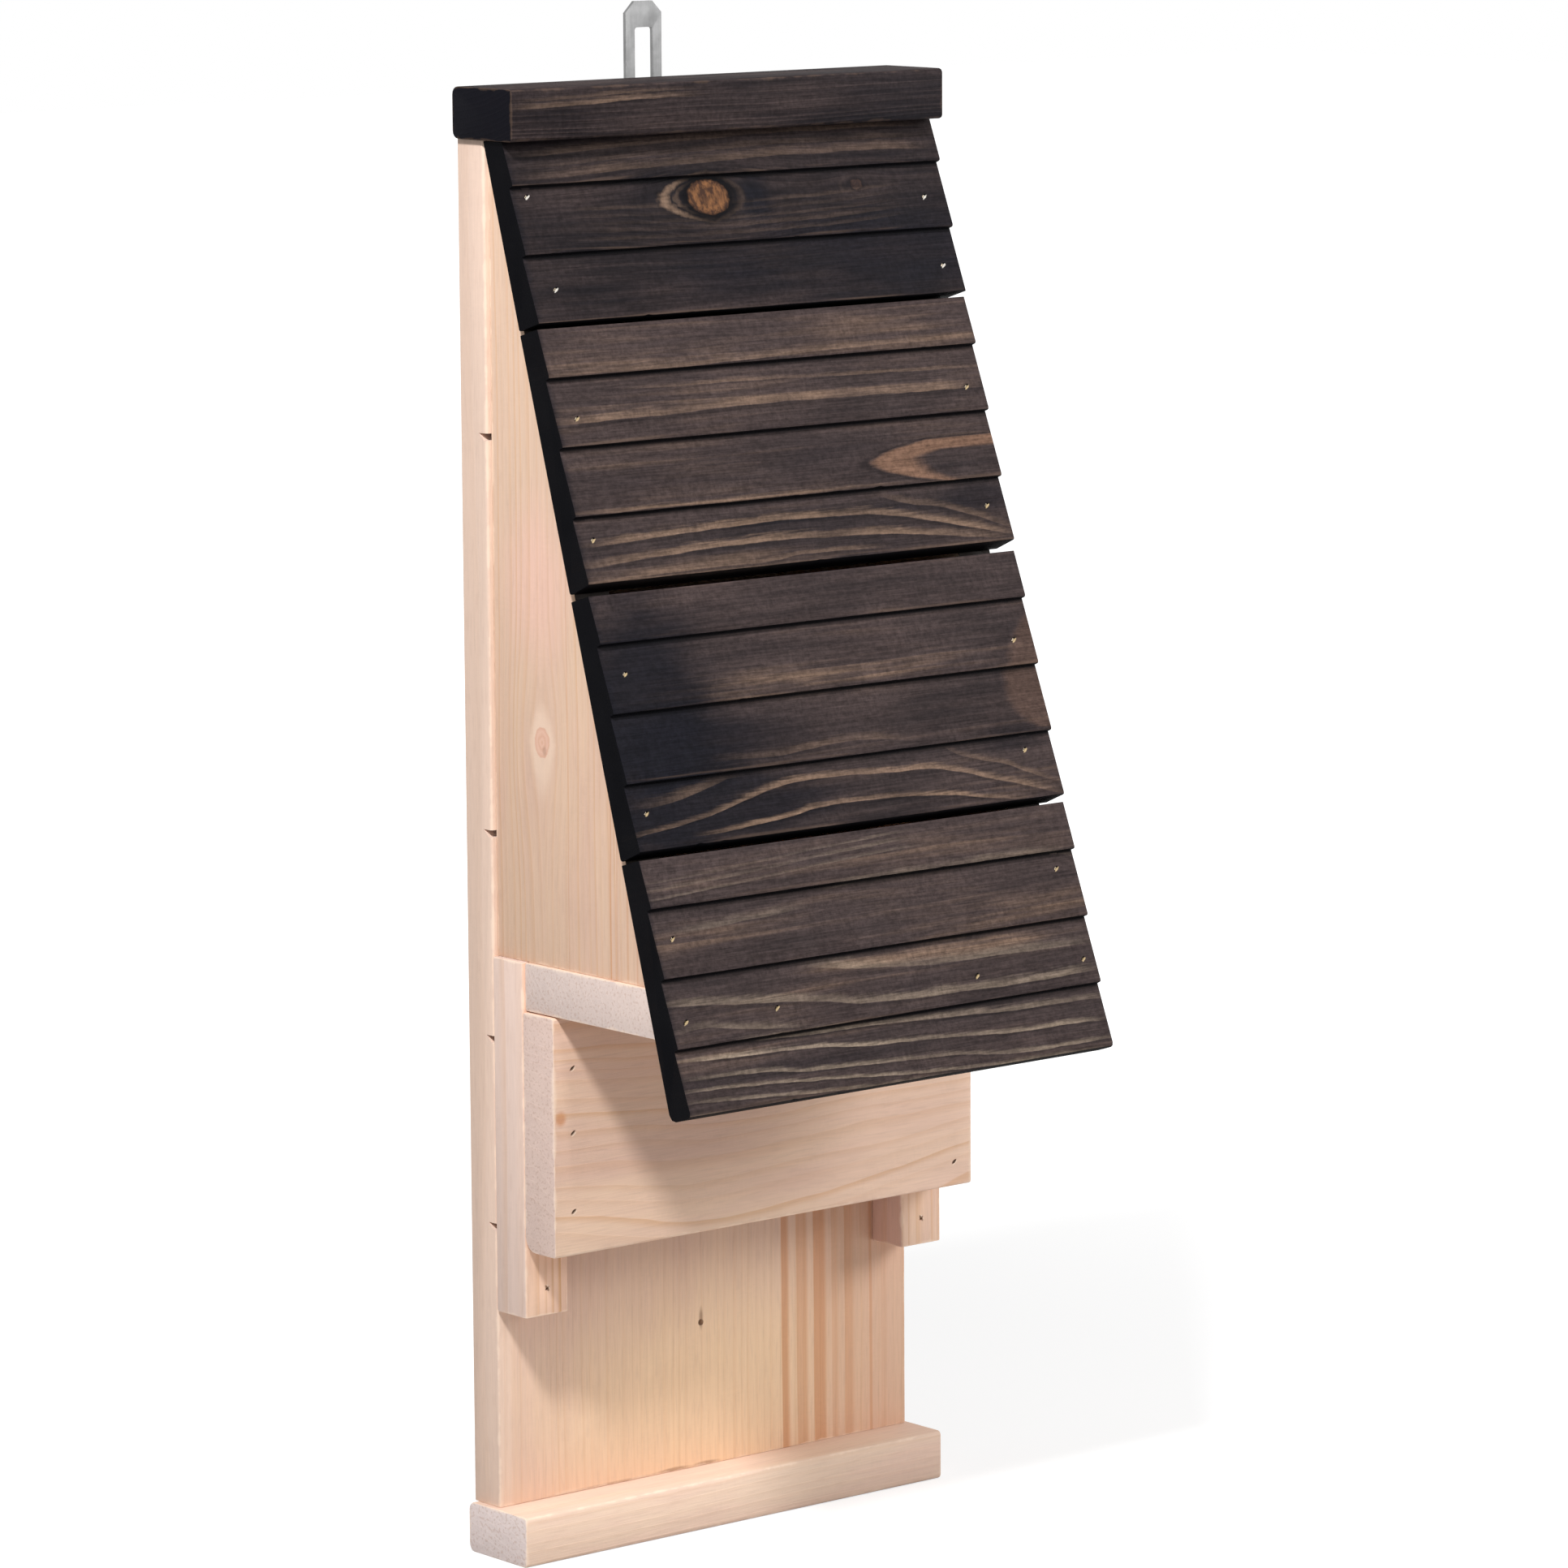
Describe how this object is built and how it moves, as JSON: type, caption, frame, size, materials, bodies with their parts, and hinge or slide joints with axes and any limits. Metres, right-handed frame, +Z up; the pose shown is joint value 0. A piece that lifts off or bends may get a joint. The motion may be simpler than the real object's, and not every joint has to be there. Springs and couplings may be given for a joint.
{
  "type": "bat box",
  "caption": "Wall-hung wooden bat box with a sloping roof of stepped boards over a triangular roost, a narrow way in from below, and a slotted steel hanger.",
  "frame": {"origin": "middle of the back board's rear face, which lies against the wall", "axes": "+X to the right as seen from the front, +Y into the wall, +Z up; the front looks along -Y"},
  "size_m": [0.2069, 0.1343, 0.575],
  "materials": {
    "pine": "planed, untreated softwood, matt",
    "stained_wood": "softwood with a blue-black stain, satin, grain showing through",
    "zinc_steel": "bright zinc plating, satin",
    "nail_steel": "bare bright wire nail"
  },
  "bodies": {
    "root": {"back_board": "pine", "cap_rail": "stained_wood", "bottom_rail": "pine", "side_panel_left": "pine", "side_panel_right": "pine", "batten_left": "pine", "batten_right": "pine", "floor_shelf": "pine", "lower_front_board": "pine", "roof_board_1": "stained_wood", "roof_board_2": "stained_wood", "roof_board_3": "stained_wood", "roof_board_4": "stained_wood", "hanger_plate": "zinc_steel", "hanger_screw_1": "zinc_steel", "hanger_screw_2": "zinc_steel", "roof_nail_left_1": "nail_steel", "roof_nail_left_2": "nail_steel", "roof_nail_left_3": "nail_steel", "roof_nail_left_4": "nail_steel", "roof_nail_left_5": "nail_steel", "roof_nail_left_6": "nail_steel", "roof_nail_left_7": "nail_steel", "roof_nail_right_1": "nail_steel", "roof_nail_right_2": "nail_steel", "roof_nail_right_3": "nail_steel", "roof_nail_right_4": "nail_steel", "roof_nail_right_5": "nail_steel", "roof_nail_right_6": "nail_steel", "roof_nail_right_7": "nail_steel", "shelf_nail_left_1": "nail_steel", "shelf_nail_left_2": "nail_steel", "shelf_nail_right_1": "nail_steel", "shelf_nail_right_2": "nail_steel", "lower_nail_left_1": "nail_steel", "lower_nail_left_2": "nail_steel", "lower_nail_left_3": "nail_steel", "lower_nail_right_1": "nail_steel", "lower_nail_right_2": "nail_steel", "lower_nail_right_3": "nail_steel", "batten_nail_left_1": "nail_steel", "batten_nail_left_2": "nail_steel", "batten_nail_right_1": "nail_steel", "batten_nail_right_2": "nail_steel", "panel_nail_left_1": "nail_steel", "panel_nail_left_2": "nail_steel", "panel_nail_left_3": "nail_steel", "panel_nail_right_1": "nail_steel", "panel_nail_right_2": "nail_steel", "panel_nail_right_3": "nail_steel", "cap_nail_left": "nail_steel", "cap_nail_right": "nail_steel", "rail_nail_left": "nail_steel", "rail_nail_right": "nail_steel", "floor_nail_left": "nail_steel", "floor_nail_right": "nail_steel"}
  },
  "joints": []
}
